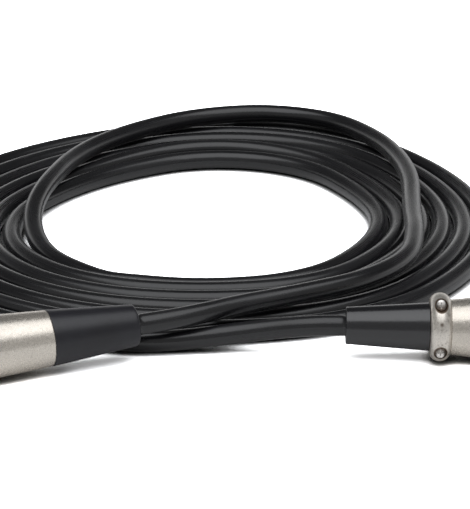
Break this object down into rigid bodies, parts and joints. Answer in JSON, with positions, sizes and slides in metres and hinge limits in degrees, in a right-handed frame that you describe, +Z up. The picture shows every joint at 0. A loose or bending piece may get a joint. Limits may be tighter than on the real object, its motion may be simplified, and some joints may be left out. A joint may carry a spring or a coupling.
{
  "type": "microphone cable",
  "caption": "Coiled round audio cable lying flat, with a female locking connector on one end and a male clamp-type connector on the other.",
  "frame": {"origin": "centre of the bounding box on the surface that the cable lies on", "axes": "+Z up, +Y away from the connectors towards the far side of the coil, +X along the male connector towards its pins"},
  "size_m": [0.2229, 0.2559, 0.0204],
  "materials": {
    "jacket": "satin",
    "male_boot": "satin",
    "female_boot": "matte",
    "nickel": "satin",
    "steel": "satin",
    "insert_black": "matte",
    "contacts": "satin",
    "wire_shield": "satin",
    "wire_hot": "satin",
    "wire_cold": "satin"
  },
  "bodies": {
    "cable": {"cable_coil": "jacket", "cable_lead_female": "jacket", "cable_lead_male": "jacket", "male_shell": "nickel", "male_insert": "insert_black", "male_pin_1": "contacts", "male_pin_2": "contacts", "male_pin_3": "contacts", "male_insert_screw": "steel", "male_clamp_ring": "nickel", "male_clamp_saddle": "nickel", "male_clamp_screws": "steel", "male_boot": "male_boot", "male_cable_end": "jacket", "male_wire_shield": "wire_shield", "male_wire_hot": "wire_hot", "male_wire_cold": "wire_cold", "female_shell": "nickel", "female_insert": "insert_black", "female_socket_1": "contacts", "female_socket_2": "contacts", "female_socket_3": "contacts", "female_insert_screw": "steel", "female_latch_pin": "steel", "female_latch_spring": "steel", "female_chuck": "insert_black", "female_boot": "female_boot", "female_cable_end": "jacket", "female_wire_shield": "wire_shield", "female_wire_hot": "wire_hot", "female_wire_cold": "wire_cold"},
    "latch": {"female_latch": "nickel"}
  },
  "joints": [
    {"name": "latch_press", "type": "hinge", "parent": "cable", "child": "latch", "pos_m": [-0.08454, -0.11187, 0.0161], "axis": [0.3371, -0.9415, 0], "range_deg": [0, 3.2], "stiffness_Nm_per_rad": 0.3, "springref_deg": -3.44, "deforming": ["female_latch_spring"]}
  ]
}
